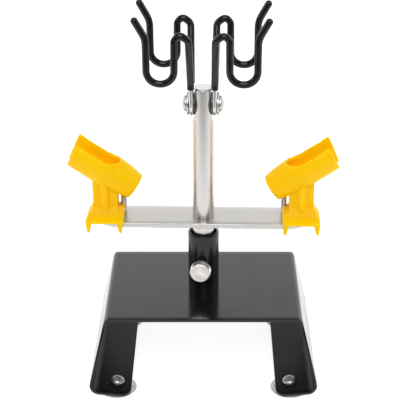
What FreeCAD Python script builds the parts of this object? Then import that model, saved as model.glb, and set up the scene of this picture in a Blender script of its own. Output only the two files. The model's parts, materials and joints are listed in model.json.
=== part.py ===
"""Airbrush holder stand, in millimetres, +Z up.

The origin is on the floor under the middle of the base, +X to the right and +Y to the back.
A bent steel base on four suction cups carries a welded sleeve.  A round spigot stands in the
sleeve, held by a thumb screw.  Above it a flat crossbar and a post are screwed together; the post
carries two pivoting wire hooks and each end of the crossbar carries a plastic holder.
"""
import FreeCAD, Part
import math
import os
import Sketcher
from FreeCAD import Placement, Rotation, Vector

os.makedirs("parts", exist_ok=True)
doc = FreeCAD.newDocument("airbrush_stand")

SIZES = {
    # base: one sheet, bent four times, with four foot holes
    "sheet_thick": 2.0,
    "plate_half": 75.5,          # centre of the upper bends
    "plate_depth": 119.5,
    "plate_top": 67.6,
    "upper_bend": 4.5,           # outer radius of the upper bends
    "lower_bend": 8.0,           # outer radius of the lower bends
    "lower_bend_x": 83.8,        # centre of the lower bends
    "lower_bend_z": 13.4,
    "foot_depth": 144.5,
    "flange_tip": 59.0,
    "flange_slope": 6.0,
    "flange_corner": 9.0,
    # feet
    "foot_x": 70.8,
    "front_foot_y": 53.0,
    "rear_foot_y": 56.4,
    "cup_dia": 31.5,
    "cup_neck_dia": 13.0,
    "cup_rim": 0.9,
    "foot_screw_dia": 4.0,
    "foot_hole_dia": 4.6,
    "foot_head_dia": 12.0,
    "foot_head_rise": 3.0,
    "recess_depth": 1.6,
    # sleeve and thumb screw
    "sleeve_dia": 25.4,
    "sleeve_bore": 21.0,
    "sleeve_len": 50.0,
    "screw_height": 91.3,
    "screw_azimuth": 6.5,
    "thread_dia": 6.0,
    "thread_hole_dia": 6.1,
    "knob_dia": 16.6,
    "knob_len": 9.0,
    "knob_back": 17.5,           # from the sleeve's axis to the back of the knob
    "knob_chamfer": 1.0,
    # spigot, crossbar and post
    "rod_dia": 17.5,
    "spigot_gap": 0.4,           # the spigot's foot stands clear of the welded plate
    "bar_under": 128.0,
    "bar_thick": 4.0,
    "bar_half": 70.0,            # centre of the round ends
    "bar_width": 34.0,
    "bar_turn": -1.6,
    "stud_dia": 8.0,
    "stud_hole_dia": 8.4,
    "stud_reach": 9.0,           # into the spigot and into the post
    "post_top": 243.0,
    "flat_half": 6.4,            # from the axis to each milled flat
    "flat_low": 218.0,
    "flat_runout": 2.5,
    # hooks
    "pivot_z": 229.3,
    "hook_bolt_dia": 6.0,
    "washer_in_thick": 0.9,
    "washer_out_thick": 1.4,
    "washer_dia": 18.5,
    "bolt_head_dia": 13.2,
    "bolt_head_len": 3.6,
    "socket_half": 2.3,           # centre to corner of the hexagon
    "socket_depth": 2.0,
    "wire_dia": 3.5,
    "dip_dia": 5.8,
    "fit_slack": 0.12,            # radial gap where one round part sits in another
    "washer_gap": 0.3,
    # plastic holders
    "holder_x": 79.5,            # centre of the stem
    "tube_tilt": 34.7,
    "tube_len": 61.0,
    "tube_mid_x": 80.6,          # middle of the tube's axis
    "tube_mid_z": 174.4,
    "jaw_dia": 29.6,
    "barrel_dia": 26.8,
    "tail_dia": 21.8,
    "barrel_len": 22.0,
    "flare_len": 8.0,
    "tube_wall": 2.2,
    "tail_bore": 16.8,           # straight hole at the lower end
    "tail_bore_len": 14.0,
    "top_slot": 24.6,
    "under_slot": 12.0,
    "under_slot_len": 12.0,
    "end_lean": 9.5,
    "stem_wide": 20.0,
    "stem_deep": 13.0,
    "rib_dia": 6.6,
    "base_wide": 30.4,
    "base_deep": 40.4,
    "skirt_rise": 10.0,
    "shelf_rise": 6.5,
    "rim_rise": 2.0,
    "scoop_radius": 12.0,
    "rear_reach": 9.0,
    "leg_drop": 8.0,
    "leg_wide": 5.0,
    "leg_thick": 2.6,
    "holder_screw_dia": 4.0,
    "holder_head_dia": 8.5,
    "holder_head_len": 2.6,
    "holder_hole_depth": 16.5,
    "stop_x": 65.6,
    "stop_y": 7.0,
    "stop_dia": 5.0,
    "stop_rise": 16.0,
}

sheet = doc.addObject("Spreadsheet::Sheet", "Sizes")
for row, (alias, value) in enumerate(SIZES.items(), start=1):
    sheet.set(f"A{row}", alias)
    sheet.set(f"B{row}", str(value))
    sheet.setAlias(f"B{row}", alias)
doc.recompute()

SUBPARTS = []


def size(alias):
    """One driving dimension, read back from the sheet."""
    return float(sheet.get(alias))


def subpart(obj, label, place=None):
    """Name a finished object, place it and put it on the list of pieces to write."""
    obj.Label = label
    if place is not None:
        obj.Placement = place
    SUBPARTS.append(obj)
    return obj


def plane(body, role):
    """One of a body's own origin planes."""
    return [f for f in body.Origin.OriginFeatures if f.Role == role][0]


def sketch_on(body, role, name, lift=0.0):
    """A sketch on an origin plane of its body, raised along the plane's normal."""
    sketch = body.newObject("Sketcher::SketchObject", name)
    sketch.AttachmentSupport = (plane(body, role), "")
    sketch.MapMode = "FlatFace"
    sketch.AttachmentOffset = Placement(Vector(0, 0, lift), Rotation())
    return sketch


def ring_sketch(body, role, name, centre, *diameters, lift=0.0):
    """Concentric circles whose diameters follow the sheet."""
    sketch = sketch_on(body, role, name, lift)
    for alias in diameters:
        add_circle(sketch, centre, alias)
    return sketch


def add_circle(sketch, centre, alias):
    """One circle, its diameter bound to the sheet."""
    where = Vector(centre[0], centre[1], 0)
    index = sketch.addGeometry(Part.Circle(where, Vector(0, 0, 1), size(alias) / 2), False)
    number = sketch.addConstraint(Sketcher.Constraint("Diameter", index, size(alias)))
    sketch.addConstraint(Sketcher.Constraint("DistanceX", -1, 1, index, 3, centre[0]))
    sketch.addConstraint(Sketcher.Constraint("DistanceY", -1, 1, index, 3, centre[1]))
    sketch.setExpression(f"Constraints[{number}]", f"{sheet.Name}.{alias}")


def add_outline(sketch, points):
    """A closed outline of straight lines and, where an entry is a triple of points, arcs."""
    for entry in points:
        curve = Part.LineSegment(*entry) if len(entry) == 2 else Part.Arc(*entry)
        sketch.addGeometry(curve, False)


def polygon(points):
    """The straight edges of a closed polygon given as pairs of numbers."""
    corners = [Vector(a, b, 0) for a, b in points]
    return list(zip(corners, corners[1:] + corners[:1]))


def pad(body, sketch, length, symmetric=False):
    """Pad a sketch by a length given as an expression on the sheet."""
    feature = body.newObject("PartDesign::Pad", "Pad")
    feature.Profile = sketch
    feature.Midplane = symmetric
    feature.setExpression("Length", length)
    return feature


def cut(body, sketch, length=None, through=False, reverse=False):
    """Pocket a sketch, and make sure that it takes material away."""
    doc.recompute()
    before = body.Shape.Volume
    feature = body.newObject("PartDesign::Pocket", "Pocket")
    feature.Profile = sketch
    feature.Reversed = reverse
    if through:
        feature.Type = "ThroughAll"
        feature.Midplane = True
    else:
        feature.setExpression("Length", length)
    doc.recompute()
    if body.Shape.Volume >= before - 0.01:
        raise RuntimeError(f"{body.Name}: the pocket cuts nothing")
    return feature


def spin(body, sketch, cutting=False):
    """Turn a sketch on the XZ plane about Z, as a revolution or a groove."""
    kind = "PartDesign::Groove" if cutting else "PartDesign::Revolution"
    feature = body.newObject(kind, "Turned")
    feature.Profile = sketch
    feature.ReferenceAxis = (sketch, ["V_Axis"])
    feature.Angle = 360
    return feature


def soften(body, kind, amount, chosen):
    """Fillet or chamfer the edges of a body that the test chooses."""
    doc.recompute()
    base = body.Tip
    names = [f"Edge{n}" for n, edge in enumerate(base.Shape.Edges, start=1) if chosen(edge)]
    feature = body.newObject(f"PartDesign::{kind}", kind)
    feature.Base = (base, names)
    feature.setExpression("Radius" if kind == "Fillet" else "Size", amount)
    return feature


def cylinder(name, diameter, height, place):
    """A Part cylinder, its diameter and height given as expressions."""
    obj = doc.addObject("Part::Cylinder", name)
    obj.setExpression("Radius", f"({diameter}) / 2")
    obj.setExpression("Height", height)
    obj.Placement = place
    return obj


def box(name, width, depth, height, place):
    """A Part box, its three sides given as expressions."""
    obj = doc.addObject("Part::Box", name)
    obj.setExpression("Length", width)
    obj.setExpression("Width", depth)
    obj.setExpression("Height", height)
    obj.Placement = place
    return obj


def joined(kind, name, base, tool):
    """Part::Cut, Part::Common or Part::Fuse of two objects."""
    obj = doc.addObject(f"Part::{kind}", name)
    obj.Base = base
    obj.Tool = tool
    return obj


def fused(name, *objects):
    """Part::MultiFuse of several objects."""
    obj = doc.addObject("Part::MultiFuse", name)
    obj.Shapes = list(objects)
    obj.Refine = True
    return obj


def at(x, y, z, rotation=None):
    """A placement by its three coordinates."""
    return Placement(Vector(x, y, z), rotation or Rotation())


def named(alias):
    """The expression for one cell of the sheet."""
    return f"{sheet.Name}.{alias}"


SIDES = {"left": -1, "right": 1}
ENDS = {"front": -1, "rear": 1}
FOOT_Y = {-1: "front_foot_y", 1: "rear_foot_y"}
BAR_TURN = Rotation(Vector(0, 0, 1), size("bar_turn"))
TURNED = Placement(Vector(), BAR_TURN)
BAR_TOP = size("bar_under") + size("bar_thick")


# ---- base ------------------------------------------------------------------------------------

def flare_angle():
    """Angle from vertical of the side, the line tangent to the upper and the lower bend."""
    across = size("lower_bend_x") - size("plate_half")
    down = size("plate_top") - size("upper_bend") - size("lower_bend_z")
    step = size("upper_bend") - size("lower_bend")
    return math.acos(step / math.hypot(across, down)) - math.atan2(down, across)


def half_profile(inset):
    """Right half of the sheet's section: its outer line, or its inner line at an inset."""
    flare = flare_angle()
    slope = math.radians(size("flange_slope"))

    def on(centre, radius, angle):
        return Vector(centre[0] + radius * math.cos(angle), centre[1] + radius * math.sin(angle), 0)

    upper = (size("plate_half"), size("plate_top") - size("upper_bend"))
    lower = (size("lower_bend_x"), size("lower_bend_z"))
    r_up = size("upper_bend") - inset
    r_low = size("lower_bend") - inset
    turn_end = slope - math.pi / 2
    start = on(upper, r_up, math.pi / 2)
    side_top = on(upper, r_up, flare)
    side_low = on(lower, r_low, flare)
    flange = on(lower, r_low, turn_end)
    run = (flange.x - size("flange_tip"))
    tip = Vector(size("flange_tip"), flange.y - run * math.tan(slope), 0)
    return [(start, on(upper, r_up, (math.pi / 2 + flare) / 2), side_top), (side_top, side_low),
            (side_low, on(lower, r_low, (flare + turn_end) / 2), flange), (flange, tip)]


def mirrored(entries):
    """The same curves on the other side of the middle."""
    return [tuple(Vector(-p.x, p.y, 0) for p in entry) for entry in entries]


def make_base():
    body = doc.addObject("PartDesign::Body", "BasePlate")
    outer = half_profile(0)
    inner = half_profile(size("sheet_thick"))
    section = sketch_on(body, "XZ_Plane", "SheetSection")
    add_outline(section, outer + inner + mirrored(outer) + mirrored(inner))
    ends = [(side[0][0], other[0][0]) for side, other in ((outer, mirrored(outer)),
                                                           (inner, mirrored(inner)))]
    tips = [(outer[-1][1], inner[-1][1]), (mirrored(outer)[-1][1], mirrored(inner)[-1][1])]
    add_outline(section, ends + tips)
    pad(body, section, named("foot_depth"), symmetric=True)

    top = size("plate_depth") / 2
    foot = size("foot_depth") / 2
    high = size("plate_top") - size("upper_bend")
    reach = foot + 20
    for sign in (-1, 1):
        side = sketch_on(body, "YZ_Plane", "SideTrim")
        add_outline(side, polygon([(sign * top, high), (sign * top, high + 20),
                                   (sign * reach, high + 20),
                                   (sign * reach, size("lower_bend_z")),
                                   (sign * foot, size("lower_bend_z"))]))
        cut(body, side, through=True)
    for end in (-1, 1):
        for sign in (-1, 1):
            centre = (sign * size("foot_x"), end * size(FOOT_Y[end]))
            hole = ring_sketch(body, "XY_Plane", "FootHole", centre, "foot_hole_dia")
            cut(body, hole, named("lower_bend_z"), reverse=True)

    def is_corner(edge):
        mid = edge.CenterOfMass
        return (abs(abs(mid.x) - size("flange_tip")) < 0.5 and abs(abs(mid.y) - foot) < 0.5
                and edge.Length < 3)

    soften(body, "Fillet", named("flange_corner"), is_corner)
    subpart(body, "base_plate")


def flange_under(x):
    """Height of the flange's underside at a distance from the middle."""
    tip = half_profile(0)[-1][1]
    return tip.y + (x - tip.x) * math.tan(math.radians(size("flange_slope")))


def make_foot(side, end, name):
    """One suction cup, cut to the slope of the flange, and the screw that holds it."""
    x = SIDES[side] * size("foot_x")
    y = ENDS[end] * size(FOOT_Y[ENDS[end]])
    under = flange_under(size("foot_x"))
    lean = Rotation(Vector(0, 1, 0), -SIDES[side] * size("flange_slope"))
    rim = size("cup_dia") / 2
    neck = size("cup_neck_dia") / 2
    crown = under - 0.9

    profile = doc.addObject("PartDesign::Body", "Cup")
    sketch = sketch_on(profile, "XZ_Plane", "CupSection")
    add_outline(sketch, polygon([(0, 1.2), (rim - 4, 0.35), (rim - 0.8, 0), (rim, 0),
                                 (rim, size("cup_rim")), (neck + 2.5, crown), (neck, crown),
                                 (neck, under + 3), (0, under + 3)]))
    spin(profile, sketch)
    above = box("Above", "60", "60", "20",
                at(0, 0, under, lean).multiply(at(-30, -30, 0)))
    trimmed = joined("Cut", "CupTrim", profile, above)
    hole = cylinder("CupHole", named("foot_screw_dia"), "20",
                    at(0, 0, under, lean).multiply(at(0, 0, -2.4)))
    cup = joined("Cut", "CupBody", trimmed, hole)
    subpart(cup, f"suction_cup_{name}", at(x, y, 0))

    screw = doc.addObject("PartDesign::Body", "FootScrew")
    head = size("foot_head_dia") / 2
    shank = size("foot_screw_dia") / 2 - size("fit_slack")
    rise = size("foot_head_rise")
    seat = size("sheet_thick")
    side_view = sketch_on(screw, "XZ_Plane", "ScrewSection")
    low, base, top = -2.3, seat, seat + rise
    crown_flat = head * 0.5
    add_outline(side_view, [
        (Vector(0, low, 0), Vector(shank, low, 0)),
        (Vector(shank, low, 0), Vector(shank, base, 0)),
        (Vector(shank, base, 0), Vector(head, base, 0)),
        (Vector(head, base, 0), Vector(head, base + rise * 0.4, 0)),
        (Vector(head, base + rise * 0.4, 0), Vector(head * 0.76, base + rise * 0.84, 0),
         Vector(crown_flat, top, 0)),
        (Vector(crown_flat, top, 0), Vector(0, top, 0)),
        (Vector(0, top, 0), Vector(0, low, 0))])
    spin(screw, side_view)
    recess = sketch_on(screw, "XY_Plane", "Recess", top)
    arm, half = head * 0.46, 0.65
    add_outline(recess, polygon([(half, half), (arm, half), (arm, -half), (half, -half),
                                 (half, -arm), (-half, -arm), (-half, -half), (-arm, -half),
                                 (-arm, half), (-half, half), (-half, arm), (half, arm)]))
    cut(screw, recess, named("recess_depth"))
    subpart(screw, f"foot_screw_{name}", at(x, y, under, lean))


make_base()
for end in ENDS:
    for side in SIDES:
        make_foot(side, end, f"{end}_{side}")


# ---- sleeve and thumb screw --------------------------------------------------------------------

SCREW_TURN = Rotation(Vector(0, 0, 1), -size("screw_azimuth"))
# the screw's own Z axis points out of the sleeve, to the front
SCREW_AXIS = SCREW_TURN.multiply(Rotation(Vector(1, 0, 0), 90))


def make_sleeve():
    body = doc.addObject("PartDesign::Body", "Sleeve")
    section = ring_sketch(body, "XY_Plane", "SleeveSection", (0, 0), "sleeve_dia", "sleeve_bore")
    pad(body, section, named("sleeve_len"))
    soften(body, "Fillet", "0.6", lambda e: abs(e.CenterOfMass.z - size("sleeve_len")) < 0.01)
    drill_z = size("screw_height") - size("plate_top")
    hole = ring_sketch(body, "XZ_Plane", "ScrewHole", (0, drill_z), "thread_hole_dia")
    cut(body, hole, named("sleeve_dia"), reverse=True)
    subpart(body, "sleeve", at(0, 0, size("plate_top"), SCREW_TURN))


def make_thumb_screw():
    """The threaded shank, and the knurled head that turns with it."""
    tip = size("rod_dia") / 2 + 0.3
    out = size("knob_back")
    place = at(0, 0, size("screw_height"), SCREW_AXIS)
    tip_place = place.multiply(at(0, 0, tip))
    shank = cylinder("Shank", named("thread_dia"), f"{named('knob_back')} - {tip} + 4",
                     tip_place)
    subpart(shank, "thumb_screw_shank")

    knob = doc.addObject("PartDesign::Body", "Knob")
    section = ring_sketch(knob, "XY_Plane", "KnobSection", (0, 0), "knob_dia")
    pad(knob, section, named("knob_len"))
    soften(knob, "Chamfer", named("knob_chamfer"), lambda e: e.Length > 30)
    socket = ring_sketch(knob, "XY_Plane", "ShankSocket", (0, 0), "thread_hole_dia")
    cut(knob, socket, "4.1", reverse=True)
    subpart(knob, "thumb_screw_knob", place.multiply(at(0, 0, out)))


make_sleeve()
make_thumb_screw()


# ---- spigot, crossbar and post -----------------------------------------------------------------

def make_mast():
    spigot = doc.addObject("PartDesign::Body", "Spigot")
    foot = size("plate_top") + size("spigot_gap")
    rod = ring_sketch(spigot, "XY_Plane", "RodSection", (0, 0), "rod_dia")
    pad(spigot, rod, f"{named('bar_under')} - {named('plate_top')} - {named('spigot_gap')}")
    soften(spigot, "Chamfer", "0.8", lambda e: abs(e.CenterOfMass.z) < 0.01)
    bore = ring_sketch(spigot, "XY_Plane", "StudHole", (0, 0), "stud_hole_dia",
                       lift=size("bar_under") - foot)
    cut(spigot, bore, f"{named('stud_reach')} + 1")
    subpart(spigot, "spigot", at(0, 0, foot))

    bar = doc.addObject("PartDesign::Body", "Crossbar")
    half = size("bar_half")
    wide = size("bar_width") / 2
    outline = sketch_on(bar, "XY_Plane", "BarOutline")
    add_outline(outline, [
        (Vector(-half, -wide, 0), Vector(half, -wide, 0)),
        (Vector(half, -wide, 0), Vector(half + wide, 0, 0), Vector(half, wide, 0)),
        (Vector(half, wide, 0), Vector(-half, wide, 0)),
        (Vector(-half, wide, 0), Vector(-half - wide, 0, 0), Vector(-half, -wide, 0))])
    pad(bar, outline, named("bar_thick"))
    soften(bar, "Fillet", "0.5", lambda e: e.Length > 20 and abs(e.CenterOfMass.y) > 1
           or e.Curve.TypeId == "Part::GeomCircle")
    holes = ring_sketch(bar, "XY_Plane", "StudHole", (0, 0), "stud_hole_dia")
    for sign in SIDES.values():
        add_circle(holes, (sign * size("holder_x"), 0), "foot_hole_dia")
        add_circle(holes, (sign * size("stop_x"), size("stop_y")), "stop_dia")
    cut(bar, holes, through=True)
    subpart(bar, "crossbar", at(0, 0, size("bar_under"), BAR_TURN))

    stud = cylinder("Stud", named("stud_dia"),
                    f"2 * {named('stud_reach')} + {named('bar_thick')}",
                    at(0, 0, size("bar_under") - size("stud_reach")))
    subpart(stud, "post_stud")

    post = doc.addObject("PartDesign::Body", "Post")
    rod = ring_sketch(post, "XY_Plane", "RodSection", (0, 0), "rod_dia")
    pad(post, rod, f"{named('post_top')} - {named('bar_under')} - {named('bar_thick')}")
    soften(post, "Chamfer", "0.6", lambda e: e.Length > 30)
    bore = ring_sketch(post, "XY_Plane", "StudHole", (0, 0), "stud_hole_dia")
    cut(post, bore, f"{named('stud_reach')} + 1", reverse=True)
    radius = size("rod_dia") / 2 + 1
    flat = size("flat_half")
    low = size("flat_low") - BAR_TOP
    high = size("post_top") - BAR_TOP + 1
    shoulder = low - size("flat_runout")
    flats = sketch_on(post, "XZ_Plane", "Flats")
    for sign in SIDES.values():
        add_outline(flats, polygon([(sign * flat, low), (sign * flat, high),
                                    (sign * radius, high), (sign * radius, shoulder)]))
    cut(post, flats, through=True)
    cross = ring_sketch(post, "YZ_Plane", "BoltHole", (0, size("pivot_z") - BAR_TOP),
                        "hook_bolt_dia")
    cut(post, cross, through=True)
    notch = sketch_on(post, "XY_Plane", "FootNotch")
    edge = size("rod_dia") / 2
    add_outline(notch, polygon([(-1.0, -edge - 1), (1.0, -edge - 1), (0.0, -edge + 1.2)]))
    cut(post, notch, "3", reverse=True)
    subpart(post, "post", at(0, 0, BAR_TOP, BAR_TURN))


make_mast()


# ---- hooks -------------------------------------------------------------------------------------

def rounded_path(points, radii):
    """Straight runs through the points with a tangent arc at each inner point."""
    edges = []
    here = points[0]
    for before, corner, after, radius in zip(points, points[1:], points[2:], radii):
        back = (before - corner).normalize()
        ahead = (after - corner).normalize()
        half = back.getAngle(ahead) / 2
        leg = radius / math.tan(half)
        begin = corner + back * leg
        end = corner + ahead * leg
        centre = corner + (back + ahead).normalize() * (radius / math.sin(half))
        middle = centre + (corner - centre).normalize() * radius
        if (begin - here).Length > 1e-6:
            edges.append(Part.LineSegment(here, begin).toShape())
        edges.append(Part.Arc(begin, middle, end).toShape())
        here = end
    edges.append(Part.LineSegment(here, points[-1]).toShape())
    return Part.Wire(edges)


def tube(path, diameter, domed_end=False):
    """A round section swept along a wire, with a dome on its last point if asked."""
    start = path.Edges[0].valueAt(path.Edges[0].FirstParameter)
    ahead = path.Edges[0].tangentAt(path.Edges[0].FirstParameter)
    circle = Part.Wire(Part.makeCircle(diameter / 2, start, ahead))
    swept = path.makePipeShell([circle], True, False)
    if not domed_end:
        return swept
    last = path.Edges[-1].valueAt(path.Edges[-1].LastParameter)
    return swept.fuse(Part.makeSphere(diameter / 2, last)).removeSplitter()


# one arm of the left hook, from the loop under the bolt to the tip: distance out from the post's
# axis, distance to the front, height above the pivot, radius of the bend there
ARM = [
    (9.15, 8.2, -8.2, 8.15),
    (9.5, 7.8, 20.5, 14.0),
    (10.2, 23.3, 58.4, 5.5),
    (17.0, 23.6, 63.3, 3.6),
    (21.0, 23.8, 58.6, 5.0),
    (21.3, 23.6, 24.1, 10.4),
    (42.4, 23.6, 24.1, 10.4),
    (42.6, 23.6, 60.0, 20.0),
    (50.4, 24.2, 73.8, 0.0),
]
DIP_START = 13.7


def arm_points(sign, end):
    return [Vector(sign * out, end * front, size("pivot_z") + up) for out, front, up, _ in ARM]


def make_hook(side):
    """One wire bent round under its bolt into a front and a rear arm, each arm dipped in vinyl."""
    sign = SIDES[side]
    radii = [bend for _, _, _, bend in ARM[:-1]]
    front = arm_points(sign, ENDS["front"])
    rear = arm_points(sign, ENDS["rear"])
    whole = rounded_path(rear[::-1] + front, radii[::-1] + radii)
    wire = doc.addObject("Part::Feature", f"HookWire_{side}")
    wire.Shape = tube(whole, size("wire_dia"))
    subpart(wire, f"hook_wire_{side}", TURNED)

    for end, points in (("front", front), ("rear", rear)):
        share = (DIP_START - ARM[0][2]) / (ARM[1][2] - ARM[0][2])
        begin = points[0] + (points[1] - points[0]) * share
        path = rounded_path([begin] + points[1:], radii[1:])
        skin = tube(path, size("dip_dia"), domed_end=True)
        bore = tube(path, size("wire_dia") + 2 * size("fit_slack"))
        dip = doc.addObject("Part::Feature", f"HookDip_{side}_{end}")
        dip.Shape = skin.cut(bore)
        subpart(dip, f"hook_coat_{side}_{end}", TURNED)


def ring(name, outer, inner, height, place):
    """A flat washer, its sizes given as expressions."""
    disc = cylinder(f"{name}Disc", outer, height, place)
    hole = cylinder(f"{name}Hole", inner, height, place)
    return joined("Cut", name, disc, hole)


def make_hook_hardware(side):
    sign = SIDES[side]
    outward = Rotation(Vector(0, 1, 0), sign * 90)

    def on_axis(distance):
        return TURNED.multiply(at(sign * distance, 0, size("pivot_z"), outward))

    bore = f"{named('hook_bolt_dia')} + 0.4"
    inner = size("flat_half") + 0.02
    subpart(ring(f"InnerWasher_{side}", named("washer_dia"), bore, named("washer_in_thick"),
                 on_axis(inner)), f"hook_inner_washer_{side}")
    wire_out = ARM[0][0] + size("wire_dia") / 2
    outer = wire_out + size("washer_gap")
    subpart(ring(f"OuterWasher_{side}", named("washer_dia"), bore, named("washer_out_thick"),
                 on_axis(outer)), f"hook_outer_washer_{side}")
    seat = outer + size("washer_out_thick")

    bolt = doc.addObject("PartDesign::Body", f"HookBolt_{side}")
    head = size("bolt_head_dia") / 2
    shank = size("hook_bolt_dia") / 2 - 0.05
    rise = size("bolt_head_len")
    low = 1.0 - seat
    view = sketch_on(bolt, "XZ_Plane", "BoltSection")
    add_outline(view, [
        (Vector(0, low, 0), Vector(shank, low, 0)),
        (Vector(shank, low, 0), Vector(shank, 0, 0)),
        (Vector(shank, 0, 0), Vector(head, 0, 0)),
        (Vector(head, 0, 0), Vector(head, rise * 0.3, 0)),
        (Vector(head, rise * 0.3, 0), Vector(head * 0.76, rise * 0.84, 0),
         Vector(head * 0.3, rise, 0)),
        (Vector(head * 0.3, rise, 0), Vector(0, rise, 0)),
        (Vector(0, rise, 0), Vector(0, low, 0))])
    spin(bolt, view)
    socket = sketch_on(bolt, "XY_Plane", "HexSocket", rise)
    across = size("socket_half")
    hexagon = [(across * math.cos(math.radians(60 * k)), across * math.sin(math.radians(60 * k)))
               for k in range(6)]
    add_outline(socket, polygon(hexagon))
    cut(bolt, socket, named("socket_depth"))
    subpart(bolt, f"hook_bolt_{side}", on_axis(seat))


for side in SIDES:
    make_hook(side)
    make_hook_hardware(side)


# ---- plastic holders ---------------------------------------------------------------------------

def make_holder(side):
    """A tilted tube on a stem, whose foot straddles the end of the crossbar."""
    sign = SIDES[side]
    bar_top = BAR_TOP + 0.02
    name = side.capitalize()
    # the tube's own Z axis runs down to its lower, inner end
    tilt = Rotation(Vector(0, 1, 0), -sign * (90 + size("tube_tilt")))
    length = size("tube_len")
    middle = at(sign * size("tube_mid_x"), 0, size("tube_mid_z"), tilt)
    start = middle.multiply(at(0, 0, -length / 2))

    shell = doc.addObject("PartDesign::Body", f"TubeBody{name}")
    jaw, barrel, tail = (size(a) / 2 for a in ("jaw_dia", "barrel_dia", "tail_dia"))
    shoulder = length - size("barrel_len")
    flare = shoulder - size("flare_len")
    bulge = Vector((barrel + tail) / 2 + 0.6, (shoulder + length) / 2, 0)
    section = sketch_on(shell, "XZ_Plane", "TubeSection")
    add_outline(section, [
        (Vector(0, 0, 0), Vector(jaw, 0, 0)),
        (Vector(jaw, 0, 0), Vector(jaw, flare, 0)),
        (Vector(jaw, flare, 0), Vector(barrel, shoulder, 0)),
        (Vector(barrel, shoulder, 0), bulge, Vector(tail, length, 0)),
        (Vector(tail, length, 0), Vector(0, length, 0)),
        (Vector(0, length, 0), Vector(0, 0, 0))])
    spin(shell, section)
    stem_drop = size("tube_mid_z") - bar_top
    stem = box(f"Stem{name}", named("stem_wide"), named("stem_deep"), f"{stem_drop}",
               at(sign * size("holder_x") - size("stem_wide") / 2, -size("stem_deep") / 2,
                  bar_top))
    rib = cylinder(f"Rib{name}", named("rib_dia"), f"{stem_drop - 8}",
                   at(sign * size("holder_x"), -size("stem_deep") / 2, bar_top))

    foot = make_foot_clip(side, bar_top)
    shell.Placement = start
    solid = fused(f"HolderSolid{name}", shell, stem, rib, foot)

    wall = size("tube_wall")
    tail_bore = size("tail_bore") / 2
    straight = length - size("tail_bore_len")
    bore = doc.addObject("PartDesign::Body", f"BoreBody{name}")
    hollow = sketch_on(bore, "XZ_Plane", "BoreSection")
    add_outline(hollow, [
        (Vector(0, -1, 0), Vector(jaw - wall, -1, 0)),
        (Vector(jaw - wall, -1, 0), Vector(jaw - wall, flare, 0)),
        (Vector(jaw - wall, flare, 0), Vector(barrel - wall, shoulder, 0)),
        (Vector(barrel - wall, shoulder, 0), Vector(tail_bore, straight, 0)),
        (Vector(tail_bore, straight, 0), Vector(tail_bore, length + 1, 0)),
        (Vector(tail_bore, length + 1, 0), Vector(0, length + 1, 0)),
        (Vector(0, length + 1, 0), Vector(0, -1, 0))])
    spin(bore, hollow)
    bore.Placement = start
    hollowed = joined("Cut", f"Hollowed{name}", solid, bore)

    # in the tube's frame -sign * X points up: the upper slot and the under slot
    cutters = []
    for slot, up, end_z in (("top_slot", 1, shoulder),
                            ("under_slot", -1, size("under_slot_len"))):
        half = size(slot) / 2
        toward = start.Rotation.multVec(Vector(1, 0, 0)).z
        facing = up if toward > 0 else -up
        block = box(f"{slot}{name}", "20", named(slot), f"{end_z - half + 1}",
                    start.multiply(at(0 if facing > 0 else -20, -half, -1)))
        lie = Rotation(Vector(0, 1, 0), 90 * facing)
        end = cylinder(f"{slot}End{name}", named(slot), "20",
                       start.multiply(at(0, 0, end_z - half, lie)))
        cutters += [block, end]
    # the outer end leans a little toward the vertical: its lower edge is cut back
    up_x = math.copysign(1, start.Rotation.multVec(Vector(1, 0, 0)).z)
    lean = Rotation(Vector(0, 1, 0), up_x * size("end_lean"))
    beyond = box(f"EndCut{name}", "80", "60", "20",
                 start.multiply(at(up_x * jaw, 0, 0, lean)).multiply(at(-40, -30, -20)))
    slots = fused(f"Slots{name}", *cutters, beyond)
    holder = joined("Cut", f"Holder{name}", hollowed, slots)
    drill = cylinder(f"Drill{name}", f"{named('holder_screw_dia')} + 0.2", named("holder_hole_depth"),
                     at(sign * size("holder_x"), 0, bar_top - 0.5))
    notch = cylinder(f"PinNotch{name}", f"{named('stop_dia')} + 0.4", named("stop_rise"),
                     at(sign * size("stop_x"), size("stop_y"), bar_top - 0.5))
    finished = joined("Cut", f"HolderPart{name}", holder, fused(f"Holes{name}", drill, notch))
    subpart(finished, f"airbrush_holder_{side}", TURNED)
    make_holder_fasteners(side)


def front_pad(name, outline, thickness, place):
    """A prism whose front view is an outline of straight lines, centred on its place in depth."""
    body = doc.addObject("PartDesign::Body", name)
    view = sketch_on(body, "XZ_Plane", f"{name}View")
    add_outline(view, polygon(outline))
    pad(body, view, thickness, symmetric=True)
    body.Placement = place
    return body


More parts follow.
